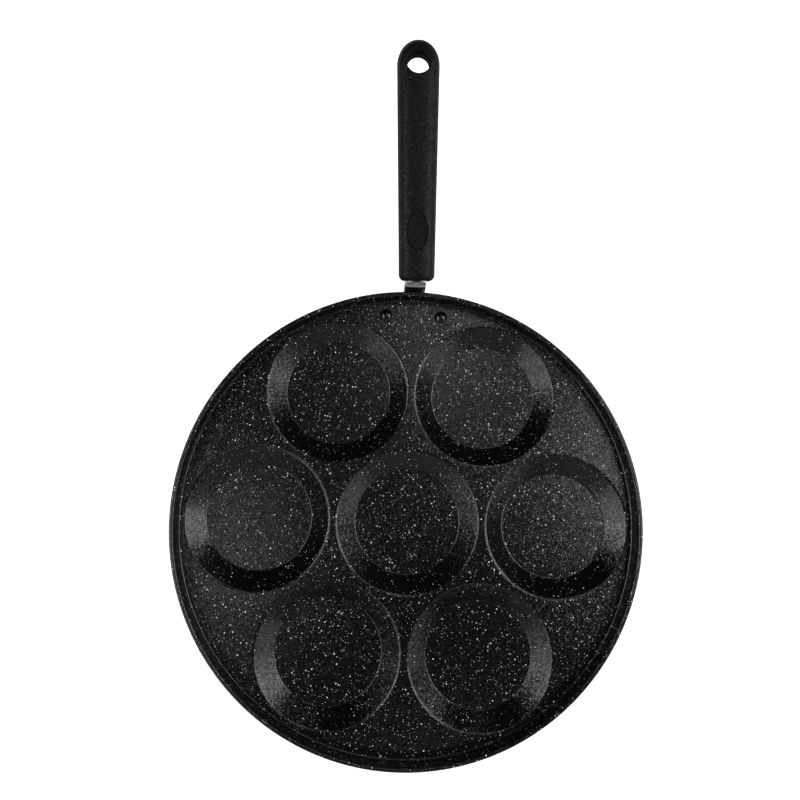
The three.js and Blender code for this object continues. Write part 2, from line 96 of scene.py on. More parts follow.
# Grip, in its own frame: the screw is the origin, +Y runs to the far end.
GRIP_LENGTH = 136.1 * MM
GRIP_TURN = math.radians(1.7)
SCREW_FROM_FRONT = 24.0 * MM
FRONT_GAP = 0.15 * MM
FRONT_HALF = (10.525 * MM, 7.5 * MM)
END_HALF = (12.25 * MM, 8.25 * MM)
END_ROUND = 14.05 * MM
SQUARENESS = 2.5  # power of the section's rounded square
FRONT_CORNER = 3.5 * MM
FRONT_EDGE = 1.6 * MM
GRIP_FRONT = -SCREW_FROM_FRONT
GRIP_END = GRIP_FRONT + GRIP_LENGTH
BODY_START = GRIP_FRONT + FRONT_CORNER
BODY_END = GRIP_END - END_ROUND
HANG_HOLE_RADIUS = 7.0 * MM
HANG_HOLE_STEP = 0.4 * MM
HANG_HOLE_CHAMFER = 0.5 * MM
HANG_HOLE_Y = GRIP_END - 13.3 * MM
THUMB_Y = GRIP_FRONT + 28.05 * MM
THUMB_HALF = (5.9 * MM, 10.75 * MM)
THUMB_DEPTH = 1.1 * MM
THUMB_LINE_WIDTH = 0.6 * MM
THUMB_LINE_DEPTH = 1.2 * MM
SOCKET = (14.6 * MM, 42.3 * MM, 3.1 * MM)
CUT_PAST = 5.0 * MM
SCREW_POINT = UPPER_FOLD_END + (FRONT_GAP + SCREW_FROM_FRONT) * TANG_DIRECTION
TANG_PLACE = Matrix.Translation((0.0, *SCREW_POINT)) @ Matrix.Rotation(HANDLE_PITCH, 4, "X")
HANDLE_PLACE = TANG_PLACE @ Matrix.Rotation(GRIP_TURN, 4, "Z")

# Screw and washer, on the grip's screw axis.
SCREW_RADIUS = 2.5 * MM
SCREW_TOP = 2.75 * MM
THREAD_PITCH = 0.8 * MM
THREAD_DEPTH = 0.45 * MM
HEAD_RADIUS = 4.3 * MM
HEAD_TOP = -5.15 * MM
HEAD_HEIGHT = 2.4 * MM
HEAD_EDGE = 0.8 * MM
DRIVE_SLOT = (4.6 * MM, 1.1 * MM, 1.4 * MM)
WASHER_TOP = -3.75 * MM
WASHER_THICKNESS = 1.2 * MM
WASHER_RADIUS = 4.2 * MM
SCREW_HOLE_RADIUS = 2.8 * MM
COUNTERBORE_RADIUS = 5.1 * MM
WASHER_SPLIT = 14.0  # degrees
WASHER_EDGE = 0.15 * MM
SEAT_GAP = 0.2 * MM
HEAD_ROOM = 0.8 * MM

# Photographer's camera, in the pan's frame.
CAMERA_PLACE = (-18.77 * MM, 21.95 * MM, 436.57 * MM)
CAMERA_TURN = [math.radians(a) for a in (6.616, -1.843, 1.729)]
CAMERA_LENS = 32.41
SENSOR = 36.0
CAMERA_NEAR = 10.0 * MM

# Stone-effect coat: specks one to a cell, over a pebbled surface.
GRAIN_CELL = 0.8 * MM
GRAIN_LARGEST = 0.19 * MM
GRAIN_SHARE = 0.2
FLECK_CELL = 1.6 * MM
FLECK_LARGEST = 0.39 * MM
FLECK_SHARE = 0.12
SPECK_SHADES = ("dadada", "ffffff")
COAT_BLACK = "070707"
WALL_SPECKS = 0.8
WALL_LEVEL = 0.8  # upward part of a wall's normal
PEBBLE = 0.45 * MM  # coarser than the real grain, so that it shows
PEBBLE_TILT = 0.18

# Grip's finish, on sides drawn along the mould and on open faces.
GRIP_SLOPES = (0.1, 0.5)  # upward parts of their normals
GRIP_ROUGHNESS = (0.95, 0.38)
GRIP_GRAIN = 0.55 * MM  # coarser than the mould's own grain, so that it shows
GRIP_GRAIN_TILT = 0.3

# Stage, in metres. A lamp has a name, a place, a width and height, and a radiance.
FLOOR_HALF = 3.0
FLOOR_GAP = 0.2 * MM
FLOOR_GLOW = 0.85
FLOOR_GLOW_MIRRORED = 0.2
TENT_RADIUS = 2.5
TENT_START = 7.0  # degrees above the floor
LAMPS = (
    ("left_key", (-0.8, -0.37, 0.69), (0.85, 0.6), 2.2),
    ("left_over", (-0.84, 0.09, 0.86), (0.58, 0.36), 5.84),
    ("left_mid", (-0.26, -0.1, 0.85), (0.22, 0.13), 2.56),
    ("right_key", (0.8, 0.12, 0.71), (0.72, 0.58), 4.3),
    ("right_over", (0.48, 0.07, 0.85), (0.23, 0.32), 2.6),
    ("back_over", (0.15, 0.45, 0.85), (0.18, 0.65), 2.0),
    ("front_low", (-0.04, -0.8, 0.37), (1.43, 0.51), 0.37),
    ("right_low", (0.8, -0.42, 0.27), (0.65, 0.26), 1.6),
    ("front_over", (0.16, -0.58, 0.85), (0.45, 0.21), 0.92),
)

# How finely round forms are drawn.
WELL_SEGMENTS = 128
RIM_SEGMENTS = 256
FASTENER_SEGMENTS = 48
ARC_STEPS = 8
GRIP_POINTS = 96
GRIP_BODY_STEPS = 60
GRIP_END_STEPS = 24
THREAD_STEPS = 8  # rows of points to a turn of the thread
WELD = 0.002 * MM  # points closer than this are one
SHARP = math.radians(35.0)


def add_node(tree, kind, inputs=None, **settings):
    """Adds a node, sets its properties, then fills its inputs by value or by link; a list links several."""
    made = tree.nodes.new(kind)
    for name, value in settings.items():
        setattr(made, name, value)
    for key, value in (inputs or {}).items():
        for item in value if isinstance(value, list) else [value]:
            if isinstance(item, bpy.types.NodeSocket):
                tree.links.new(item, made.inputs[key])
            else:
                made.inputs[key].default_value = item
    return made


def geometry_tree(name, sizes):
    """A geometry tree whose inputs are the given names and values, its group input and its identifiers."""
    tree = bpy.data.node_groups.new(name, "GeometryNodeTree")
    kinds = {int: "NodeSocketInt", float: "NodeSocketFloat", tuple: "NodeSocketVector"}
    tree.interface.new_socket("Geometry", in_out="INPUT", socket_type="NodeSocketGeometry")
    tree.interface.new_socket("Geometry", in_out="OUTPUT", socket_type="NodeSocketGeometry")
    identifiers = {}
    for label, value in sizes.items():
        kind = kinds.get(type(value), "NodeSocketMaterial")
        socket = tree.interface.new_socket(label, in_out="INPUT", socket_type=kind)
        identifiers[label] = socket.identifier
    return tree, add_node(tree, "NodeGroupInput").outputs, identifiers


def run_tree(obj, tree, identifiers, sizes):
    """Runs a geometry tree on an object and leaves its result as a plain mesh."""
    modifier = obj.modifiers.new(tree.name, "NODES")
    modifier.node_group = tree
    for label, value in sizes.items():
        modifier[identifiers[label]] = value
    return bake_modifiers(obj)


def bake_modifiers(obj):
    """Turns an object's modifiers into a plain mesh: no doubles, faces outward, smooth up to sharp edges."""
    bpy.context.view_layer.update()
    evaluated = obj.evaluated_get(bpy.context.evaluated_depsgraph_get())
    mesh = bpy.data.meshes.new_from_object(evaluated)
    obj.modifiers.clear()
    obj.data = mesh
    mesh.name = obj.name
    form = bmesh.new()
    form.from_mesh(mesh)
    bmesh.ops.remove_doubles(form, verts=form.verts, dist=WELD)
    bmesh.ops.dissolve_degenerate(form, edges=form.edges, dist=WELD)
    bmesh.ops.recalc_face_normals(form, faces=form.faces)
    form.to_mesh(mesh)
    form.free()
    mesh.shade_smooth()
    mesh.set_sharp_from_angle(angle=SHARP)
    return obj


def new_object(name, points, edges=(), faces=()):
    """An object of points with edges or with faces, which are turned outward."""
    mesh = bpy.data.meshes.new(name)
    mesh.from_pydata(points, edges, faces)
    form = bmesh.new()
    form.from_mesh(mesh)
    bmesh.ops.recalc_face_normals(form, faces=form.faces)
    form.to_mesh(mesh)
    form.free()
    obj = bpy.data.objects.new(name, mesh)
    bpy.context.scene.collection.objects.link(obj)
    return obj


def finish_piece(obj, material, slot, *nodes):
    """Gives a finished piece its material and its body, and hides the solids that it stands for."""
    obj.data.materials.clear()
    obj.data.materials.append(material)
    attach(obj, "root")
    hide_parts(*nodes)


def arc(x, y, radius, start, end, steps=ARC_STEPS):
    """Points along an arc of a profile, between two angles in degrees."""
    turns = [math.radians(start + (end - start) * i / steps) for i in range(steps + 1)]
    return [(x + radius * math.cos(t), y + radius * math.sin(t)) for t in turns]


def profile_object(name, *profiles):
    """An object whose edges are open profiles: x is the radius, y the height."""
    points = [(x, y, 0.0) for profile in profiles for x, y in profile]
    edges = []
    start = 0
    for profile in profiles:
        edges += [(i, i + 1) for i in range(start, start + len(profile) - 1)]
        start += len(profile)
    return new_object(name, points, edges)


def turned_profile_tree():
    """A tree that turns profiles about Z."""
    tree, sizes, _ = geometry_tree("turned_profile", {"Segments": FASTENER_SEGMENTS})
    # A sweep round a circle lays y downwards and adds the circle's radius of 1.
    moved = add_node(
        tree,
        "GeometryNodeTransform",
        {"Geometry": sizes["Geometry"], "Translation": (-1.0, 0.0, 0.0), "Scale": (1.0, -1.0, 1.0)},
    )
    profile = add_node(tree, "GeometryNodeMeshToCurve", {"Mesh": moved.outputs[0]})
    circle = add_node(
        tree, "GeometryNodeCurvePrimitiveCircle", {"Resolution": sizes["Segments"], "Radius": 1.0}
    )
    turned = add_node(
        tree,
        "GeometryNodeCurveToMesh",
        {"Curve": circle.outputs["Curve"], "Profile Curve": profile.outputs[0]},
    )
    merged = add_node(
        tree, "GeometryNodeMergeByDistance", {"Geometry": turned.outputs[0], "Distance": WELD}
    )
    add_node(tree, "NodeGroupOutput", {"Geometry": merged.outputs[0]})
    return tree


TURNED = turned_profile_tree()


def turned(tree, geometry, segments):
    """A node that turns profiles inside another tree."""
    return add_node(
        tree, "GeometryNodeGroup", {"Geometry": geometry, "Segments": segments}, node_tree=TURNED
    ).outputs[0]


def well_profiles():
    """The sheet's two faces from a well's middle out to the flat deck: inside, then underneath."""
    slope = math.radians(WELL_SLOPE)
    side_run = WELL_DEPTH / math.tan(slope)
    floor_radius = WELL_RADIUS - WELL_EDGE_FILLET * math.tan(slope / 2) - side_run
    foot_x = floor_radius - WELL_FLOOR_FILLET * math.tan(slope / 2)
    foot_y = SHEET + WELL_FLOOR_FILLET
    corner = WELL_FLOOR_FILLET + SHEET
    cup_foot = (foot_x + corner * math.sin(slope), foot_y - corner * math.cos(slope))
    cup_radius = cup_foot[0] + (DECK_UNDER - cup_foot[1]) / math.tan(slope)
    inside = [(0.0, SHEET), (foot_x - FLAT_BORDER, SHEET)]
    inside += arc(foot_x, foot_y, WELL_FLOOR_FILLET, -90, WELL_SLOPE - 90)
    inside += arc(WELL_RADIUS, DECK_TOP - WELL_EDGE_FILLET, WELL_EDGE_FILLET, 90 + WELL_SLOPE, 90)
    inside += [(WELL_RADIUS + FLAT_BORDER, DECK_TOP)]
    underneath = [(0.0, 0.0), (foot_x - FLAT_BORDER, 0.0)]
    underneath += arc(foot_x, foot_y, corner, -90, WELL_SLOPE - 90)
    underneath += [(cup_radius, DECK_UNDER), (WELL_RADIUS + FLAT_BORDER, DECK_UNDER)]
    return inside, underneath


def lip_profile():
    """From the deck up the lip, over the half-round rim and back under the deck."""
    foot_y = DECK_TOP + LIP_FILLET
    rim_radius = SHEET / 2
    return [
        (LIP_FOOT - FLAT_BORDER, DECK_TOP),
        *arc(LIP_FOOT, foot_y, LIP_FILLET, -90, 0),
        *arc(RIM_RADIUS - rim_radius, RIM_TOP - rim_radius, rim_radius, 180, 0, 2 * ARC_STEPS),
        *arc(LIP_FOOT, foot_y, LIP_FILLET + SHEET, 0, -90),
        (LIP_FOOT - FLAT_BORDER, DECK_UNDER),
    ]


def pressed_body_tree(sizes):
    """Wells round the middle one, and flat sheet that fills the deck between wells, lip and rivets."""
    tree, given, identifiers = geometry_tree("pressed_body", sizes)
    spot = add_node(tree, "GeometryNodeInputPosition").outputs[0]
    radius = add_node(tree, "ShaderNodeSeparateXYZ", {"Vector": spot}).outputs["X"]
    is_lip = add_node(tree, "FunctionNodeCompare", {"A": radius, "B": given["Well Opening"]}).outputs[0]
    profiles = add_node(
        tree, "GeometryNodeSeparateGeometry", {"Geometry": given["Geometry"], "Selection": is_lip}
    ).outputs
    lip = turned(tree, profiles["Selection"], given["Rim Segments"])
    well = turned(tree, profiles["Inverted"], given["Well Segments"])
    centres = add_node(
        tree,
        "GeometryNodeMeshCircle",
        {"Vertices": given["Outer Wells"], "Radius": given["Well Ring"]},
        fill_type="TRIANGLE_FAN",
    ).outputs[0]
    rivets = add_node(
        tree,
        "GeometryNodeMeshLine",
        {"Count": given["Rivets"], "Start Location": given["First Rivet"], "Offset": given["Rivet Spacing"]},
    ).outputs[0]
    rings = []
    for points, segments, size in (
        (None, given["Rim Segments"], given["Lip Start"]),
        (centres, given["Well Segments"], given["Well Opening"]),
        (rivets, given["Rivet Segments"], given["Rivet Hole"]),
    ):
        ring = add_node(
            tree, "GeometryNodeCurvePrimitiveCircle", {"Resolution": segments, "Radius": size}
        ).outputs[0]
        if points:
            ring = add_node(
                tree, "GeometryNodeInstanceOnPoints", {"Points": points, "Instance": ring}
            ).outputs[0]
        rings.append(ring)
    outline = add_node(tree, "GeometryNodeJoinGeometry", {"Geometry": rings}).outputs[0]
    outline = add_node(tree, "GeometryNodeRealizeInstances", {"Geometry": outline}).outputs[0]
    sheet = add_node(tree, "GeometryNodeFillCurve", {"Curve": outline}).outputs[0]
    flats = [
        add_node(tree, "GeometryNodeTransform", {"Geometry": sheet, "Translation": given[level]}).outputs[0]
        for level in ("Deck Top", "Deck Underside")
    ]
    hole = add_node(
        tree,
        "GeometryNodeMeshCylinder",
        {"Vertices": given["Rivet Segments"], "Radius": given["Rivet Hole"], "Depth": given["Sheet"]},
        fill_type="NONE",
    ).outputs[0]
    holes = add_node(tree, "GeometryNodeInstanceOnPoints", {"Points": rivets, "Instance": hole}).outputs[0]
    holes = add_node(
        tree, "GeometryNodeTransform", {"Geometry": holes, "Translation": given["Deck Middle"]}
    ).outputs[0]
    wells = add_node(tree, "GeometryNodeInstanceOnPoints", {"Points": centres, "Instance": well}).outputs[0]
    whole = add_node(tree, "GeometryNodeJoinGeometry", {"Geometry": [lip, wells, holes, *flats]}).outputs[0]
    whole = add_node(tree, "GeometryNodeRealizeInstances", {"Geometry": whole}).outputs[0]
    whole = add_node(
        tree, "GeometryNodeSetMaterial", {"Geometry": whole, "Material": given["Coat"]}
    ).outputs[0]
    add_node(tree, "NodeGroupOutput", {"Geometry": whole})
    return tree, identifiers


def pressed_body(coat):
    """Body pressed from one sheet: seven wells, deck, lip and rim."""
    sizes = {
        "Outer Wells": OUTER_WELLS,
        "Well Ring": WELL_RING,
        "Well Opening": WELL_RADIUS + FLAT_BORDER,
        "Well Segments": WELL_SEGMENTS,
        "Lip Start": LIP_FOOT - FLAT_BORDER,
        "Rim Segments": RIM_SEGMENTS,
        **RIVET_LINE,
        "Rivet Hole": RIVET_HOLE_RADIUS,
        "Rivet Segments": FASTENER_SEGMENTS,
        "Deck Top": (0.0, 0.0, DECK_TOP),
        "Deck Middle": (0.0, 0.0, (DECK_TOP + DECK_UNDER) / 2),
        "Deck Underside": (0.0, 0.0, DECK_UNDER),
        "Sheet": SHEET,
        "Coat": coat,
    }
    obj = profile_object("pressed_body", *well_profiles(), lip_profile())
    run_tree(obj, *pressed_body_tree(sizes), sizes)
    finish_piece(obj, coat, "stone_coat", "pan_body")


def rivet_pair_tree(sizes):
    """A turned rivet, repeated along the line of the rivets."""
    tree, given, identifiers = geometry_tree("rivet_pair", sizes)
    rivet = turned(tree, given["Geometry"], given["Segments"])
    places = add_node(
        tree,
        "GeometryNodeMeshLine",
        {"Count": given["Rivets"], "Start Location": given["First Rivet"], "Offset": given["Rivet Spacing"]},
    ).outputs[0]
    pair = add_node(tree, "GeometryNodeInstanceOnPoints", {"Points": places, "Instance": rivet}).outputs[0]
    pair = add_node(tree, "GeometryNodeRealizeInstances", {"Geometry": pair}).outputs[0]
    pair = add_node(
        tree, "GeometryNodeSetMaterial", {"Geometry": pair, "Material": given["Enamel"]}
    ).outputs[0]
    add_node(tree, "NodeGroupOutput", {"Geometry": pair})
    return tree, identifiers


def rivets(enamel):
    """Two dome-headed rivets, upset under the bracket."""
    head_seat = RIVET_HIGH.z - RIVET_HEAD_HEIGHT
    tail_seat = RIVET_LOW.z + RIVET_TAIL_HEIGHT
    tail_edge = RIVET_TAIL_HEIGHT / 2
    dome_radius = (RIVET_HEAD_RADIUS**2 + RIVET_HEAD_HEIGHT**2) / (2 * RIVET_HEAD_HEIGHT)
    dome_centre = RIVET_HIGH.z - dome_radius
    dome_start = math.degrees(math.atan2(head_seat - dome_centre, RIVET_HEAD_RADIUS))
    profile = [
        (0.0, RIVET_LOW.z),
        *arc(RIVET_TAIL_RADIUS - tail_edge, RIVET_LOW.z + tail_edge, tail_edge, -90, 0),
        (RIVET_TAIL_RADIUS, tail_seat),
        (RIVET_SHANK_RADIUS, tail_seat),
        (RIVET_SHANK_RADIUS, head_seat),
        *arc(0.0, dome_centre, dome_radius, dome_start, 90, 2 * ARC_STEPS),
    ]
    sizes = {"Segments": FASTENER_SEGMENTS, **RIVET_LINE, "Enamel": enamel}
    obj = profile_object("rivets", profile)
    run_tree(obj, *rivet_pair_tree(sizes), sizes)
    finish_piece(obj, enamel, "rivet", "rivet_left", "rivet_right")


def prism(name, outline, place, low, high):
    """A solid of an outline between two levels; place turns (u, v, level) into a point."""
    count = len(outline)
    points = [place(u, v, level) for level in (low, high) for u, v in outline]
    sides = [(i, (i + 1) % count, count + (i + 1) % count, count + i) for i in range(count)]
    return new_object(name, points, faces=[range(count), range(count, 2 * count), *sides])


def from_above(u, v, level):
    """An outline in plan, with its levels upward."""
    return (u, v, level)


def from_side(u, v, level):
    """An outline seen from the side, with its levels across the pan."""
    return (level, u, v)


def rod(name, radius, low, high):
    """An upright round bar, used to cut holes."""
    return prism(name, arc(0.0, 0.0, radius, 0, 360, FASTENER_SEGMENTS)[:-1], from_above, low, high)


def combine(obj, operation, *tools):
    """Joins tools to an object or cuts them out of it, and removes them."""
    for tool in tools:
        modifier = obj.modifiers.new(tool.name, "BOOLEAN")
        modifier.operation = operation
        modifier.solver = "EXACT"
        modifier.object = tool
    bake_modifiers(obj)
    for tool in tools:
        bpy.data.objects.remove(tool)


def round_edges(obj, width):
    """Rounds an object's sharp edges."""
    modifier = obj.modifiers.new("rounded_edges", "BEVEL")
    modifier.width = width
    modifier.segments = 2
    modifier.limit_method = "ANGLE"
    modifier.angle_limit = SHARP
    bake_modifiers(obj)


def strap_edge(offset):
    """One face of the folded strap, seen from the side, at an offset from its middle line."""
    middle = PLATE_TOP - STRAP / 2
    run = FRONT_GAP + TANG_LENGTH
    tang_end = UPPER_FOLD_END + run * TANG_DIRECTION + offset * TANG_NORMAL
    return [
        (RIVET_PLACE.y, middle + offset),
        *arc(RISER_Y - FOLD_RADIUS, middle + FOLD_RADIUS, FOLD_RADIUS - offset, -90, 0),
        *arc(*UPPER_FOLD_CENTRE, FOLD_RADIUS + offset, 180, 90 + math.degrees(HANDLE_PITCH)),
        tuple(tang_end),
    ]


def plate_outline():
    """Plate under the deck: an ear round each rivet, drawn in to the strap's width."""
    strap_start = RISER_Y - FOLD_RADIUS
    neck = Vector((STRAP_WIDTH / 2 - RIVET_PLACE.x, strap_start - RIVET_PLACE.y))
    tangent = math.degrees(math.atan2(neck.y, neck.x) - math.acos(EAR_RADIUS / neck.length))
    return [
        (-STRAP_WIDTH / 2, strap_start),
        *arc(-RIVET_PLACE.x, RIVET_PLACE.y, EAR_RADIUS, 180 - tangent, 270, 2 * ARC_STEPS),
        *arc(RIVET_PLACE.x, RIVET_PLACE.y, EAR_RADIUS, 270, 360 + tangent, 2 * ARC_STEPS),
        (STRAP_WIDTH / 2, strap_start),
    ]


def folded_bracket(steel):
    """Steel strap: plate under the deck, upright outside the rim and tang inside the grip."""
    side = strap_edge(STRAP / 2) + strap_edge(-STRAP / 2)[::-1]
    obj = prism("folded_bracket", side, from_side, -STRAP_WIDTH / 2, STRAP_WIDTH / 2)
    plate = prism("plate", plate_outline(), from_above, PLATE_TOP - STRAP, PLATE_TOP)
    combine(obj, "UNION", plate)
    holes = []
    for x in (-RIVET_PLACE.x, RIVET_PLACE.x):
        hole = rod("rivet_hole", RIVET_HOLE_RADIUS, PLATE_TOP - STRAP - CUT_PAST, PLATE_TOP + CUT_PAST)
        hole.data.transform(Matrix.Translation((x, RIVET_PLACE.y, 0.0)))
        holes.append(hole)
    screw_hole = rod("screw_hole", SCREW_HOLE_RADIUS, -CUT_PAST, CUT_PAST)
    screw_hole.data.transform(TANG_PLACE)
    combine(obj, "DIFFERENCE", *holes, screw_hole)
    round_edges(obj, STRAP_EDGE)
    finish_piece(obj, steel, "bracket_steel", "handle_bracket")


def lofted(name, first, rings, last):
    """A closed skin from one end point, through rings of equally many points, to the other end point."""
    count = len(rings[0])
    points = [first, *(point for ring in rings for point in ring), last]
    starts = [1 + row * count for row in range(len(rings))]
    faces = []
    for i in range(count):
        after = (i + 1) % count
        faces.append((0, 1 + i, 1 + after))
        faces += [(near + i, near + after, far + after, far + i) for near, far in zip(starts, starts[1:])]
        faces.append((starts[-1] + i, starts[-1] + after, len(points) - 1))
    return new_object(name, points, faces=faces)


def squared_quarter(share):
    """How high a rounded-square quarter stands over a share of its half-width."""
    return (1 - min(1.0, share) ** SQUARENESS) ** (1 / SQUARENESS)


def grip_half(y):
    """Half the grip's width and thickness at a distance along it, past its front corners."""
    share = (y - BODY_START) / (BODY_END - BODY_START)
    if share <= 1.0:
        return [a + (b - a) * share for a, b in zip(FRONT_HALF, END_HALF)]
    past = min(1.0, (y - BODY_END) / END_ROUND)
    return END_HALF[0] * math.sqrt(1 - past**2), END_HALF[1] * squared_quarter(past)


def crown_height(x, y):
    """Height of the grip's top face over its middle plane."""
    half_width, half_thickness = grip_half(y)
    return half_thickness * squared_quarter(abs(x) / half_width)


def grip_ring(y, half_width, half_thickness):
    """A rounded-square ring of the grip, at a distance along it."""
    ring = []
    for i in range(GRIP_POINTS):
        turn = 2 * math.pi * i / GRIP_POINTS
        x, z = (math.copysign(abs(s) ** (2 / SQUARENESS), s) for s in (math.cos(turn), math.sin(turn)))
        ring.append((half_width * x, y, half_thickness * z))
    return ring


def grip_blank():
    """Outer form of the grip: rounded front corners, a steady taper and a rounded far end."""
    rings = []
    for i in range(ARC_STEPS):
        turn = math.pi / 2 * i / ARC_STEPS
        inset = 1 - math.sin(turn)
        y = GRIP_FRONT + FRONT_CORNER * (1 - math.cos(turn))
        rings.append(grip_ring(y, FRONT_HALF[0] - FRONT_CORNER * inset, FRONT_HALF[1] - FRONT_EDGE * inset))
    for i in range(GRIP_BODY_STEPS + 1):
        y = BODY_START + (BODY_END - BODY_START) * i / GRIP_BODY_STEPS
        rings.append(grip_ring(y, *grip_half(y)))
    for i in range(1, GRIP_END_STEPS):
        y = BODY_END + END_ROUND * math.sin(math.pi / 2 * i / GRIP_END_STEPS)
        rings.append(grip_ring(y, *grip_half(y)))
    return lofted("moulded_grip", (0.0, GRIP_FRONT, 0.0), rings, (0.0, GRIP_END, 0.0))


def turned_object(name, profile, segments):
    """A piece turned from one profile."""
    sizes = {"Segments": segments}
    obj = profile_object(name, profile)
    given = [item for item in TURNED.interface.items_tree if item.in_out == "INPUT"]
    return run_tree(obj, TURNED, {item.name: item.identifier for item in given}, sizes)


def hole_ring(radius, level, follows):
    """A ring of the hanging hole at a level, or at a level over the grip's crown."""
    ring = []
    for i in range(GRIP_POINTS):
        turn = 2 * math.pi * i / GRIP_POINTS
        x, y = math.cos(turn), math.sin(turn)
        crown = crown_height(HANG_HOLE_RADIUS * x, HANG_HOLE_Y + HANG_HOLE_RADIUS * y)
        ring.append((radius * x, HANG_HOLE_Y + radius * y, level + follows * crown))
    return ring


def hanging_hole():
    """Moulded by two pins that meet half-way, with a chamfer that follows the grip's crown."""
    past = END_HALF[1] + CUT_PAST
    wide = HANG_HOLE_RADIUS + 2 * HANG_HOLE_CHAMFER
    narrow = HANG_HOLE_RADIUS - HANG_HOLE_STEP
    rings = [
        hole_ring(wide, past, 0),
        hole_ring(wide, HANG_HOLE_CHAMFER, 1),
        hole_ring(HANG_HOLE_RADIUS, -HANG_HOLE_CHAMFER, 1),
        hole_ring(HANG_HOLE_RADIUS, 0.0, 0),
        hole_ring(narrow, 0.0, 0),
        hole_ring(narrow, -past, 0),
    ]
    return lofted("hanging_hole", (0.0, HANG_HOLE_Y, past), rings, (0.0, HANG_HOLE_Y, -past))


def thumb_rest():
    """An oval whose floor dips along the grip, deepest in its middle."""
    crown = crown_height(0.0, THUMB_Y)
    across, along = THUMB_HALF
    dip_radius = (along**2 + THUMB_DEPTH**2) / (2 * THUMB_DEPTH)
    span = math.degrees(math.asin(along / dip_radius))
    floor = arc(THUMB_Y, crown - THUMB_DEPTH + dip_radius, dip_radius, -90 - span, -90 + span, 4 * ARC_STEPS)
    top = crown + CUT_PAST
    side = [*floor, (THUMB_Y + along, top), (THUMB_Y - along, top)]
    dip = prism("dip", side, from_side, -2 * across, 2 * across)
    turns = [2 * math.pi * i / GRIP_POINTS for i in range(GRIP_POINTS)]
    oval = [(across * math.cos(t), THUMB_Y + along * math.sin(t)) for t in turns]
    rest = prism("thumb_rest", oval, from_above, 0.0, top - CUT_PAST / 2)
    combine(rest, "INTERSECT", dip)
    return rest


def thumb_line():
    """A fine groove round the thumb rest, which follows the crown."""
    across, along = THUMB_HALF
    points = []
    for i in range(GRIP_POINTS):
        turn = 2 * math.pi * i / GRIP_POINTS
        for side, level in ((-1, -1), (1, -1), (1, 1), (-1, 1)):
            x = (across + side * THUMB_LINE_WIDTH / 2) * math.cos(turn)
            y = THUMB_Y + (along + side * THUMB_LINE_WIDTH / 2) * math.sin(turn)
            points.append((x, y, crown_height(x, y) + level * THUMB_LINE_DEPTH))
    count = len(points)
    faces = []
    for i in range(0, count, 4):
        for j in range(4):
            k = (j + 1) % 4
            faces.append((i + j, (i + 4 + j) % count, (i + 4 + k) % count, i + k))
    return new_object("thumb_line", points, faces=faces)


def moulded_grip(phenolic):
    """Phenolic handle with its socket, thumb rest, hanging hole and counterbore."""
    obj = grip_blank()
    width, depth, height = SOCKET
    reach = [(-width / 2, GRIP_FRONT - CUT_PAST), (width / 2, GRIP_FRONT - CUT_PAST)]
    reach += [(width / 2, GRIP_FRONT + depth), (-width / 2, GRIP_FRONT + depth)]
    socket = prism("socket", reach, from_above, -height / 2, height / 2)
    below = -END_HALF[1] - CUT_PAST
    screw_way = rod("screw_way", SCREW_HOLE_RADIUS, below, SCREW_TOP + HEAD_ROOM)
    counterbore = rod("counterbore", COUNTERBORE_RADIUS, below, WASHER_TOP + SEAT_GAP)
    combine(obj, "DIFFERENCE", socket, screw_way, counterbore, hanging_hole(), thumb_rest(), thumb_line())
    obj.data.transform(HANDLE_PLACE)
    finish_piece(obj, phenolic, "grip_phenolic", "handle_grip")


def grip_screw(zinc):
    """Pan-head screw with a cross slot and a rolled thread."""
    head_low = HEAD_TOP - HEAD_HEIGHT
    rows = THREAD_STEPS * round((SCREW_TOP - HEAD_TOP) / THREAD_PITCH)
    shank = [(SCREW_RADIUS, HEAD_TOP + (SCREW_TOP - HEAD_TOP) * i / rows) for i in range(rows + 1)]
    profile = [
        (0.0, head_low),
        *arc(HEAD_RADIUS - HEAD_EDGE, head_low + HEAD_EDGE, HEAD_EDGE, -90, 0),
        (HEAD_RADIUS, HEAD_TOP),
        *shank,
        (0.0, SCREW_TOP),
    ]
    obj = turned_object("grip_screw", profile, FASTENER_SEGMENTS)
    for vertex in obj.data.vertices:
        x, y, z = vertex.co
        radius = math.hypot(x, y)
        if z < HEAD_TOP or radius < WELD:
            continue
        phase = (z / THREAD_PITCH - math.atan2(y, x) / (2 * math.pi)) % 1.0
        fade = min(1.0, (z - HEAD_TOP) / THREAD_PITCH)
        cut = THREAD_DEPTH * fade * abs(2 * phase - 1)
        scale = 1 - cut / radius
        vertex.co = (x * scale, y * scale, z)
    length, width, depth = DRIVE_SLOT
    slots = []
    for across, along in ((length, width), (width, length)):
        corners = [(-across / 2, -along / 2), (across / 2, -along / 2)]
        corners += [(across / 2, along / 2), (-across / 2, along / 2)]
        slots.append(prism("drive_slot", corners, from_above, head_low - depth, head_low + depth))
    combine(obj, "DIFFERENCE", *slots)
    obj.data.transform(HANDLE_PLACE)
    finish_piece(obj, zinc, "fastener_zinc", "handle_screw")


def split_washer(zinc):
    """Split spring washer between the screw's head and the grip."""
    half = WASHER_SPLIT / 2
    outline = arc(0.0, 0.0, WASHER_RADIUS, half, 360 - half, FASTENER_SEGMENTS)
    outline += arc(0.0, 0.0, SCREW_HOLE_RADIUS, 360 - half, half, FASTENER_SEGMENTS)
    obj = prism("split_washer", outline, from_above, WASHER_TOP - WASHER_THICKNESS, WASHER_TOP)
    round_edges(obj, WASHER_EDGE)
    obj.data.transform(HANDLE_PLACE)
    finish_piece(obj, zinc, "fastener_zinc", "spring_washer")


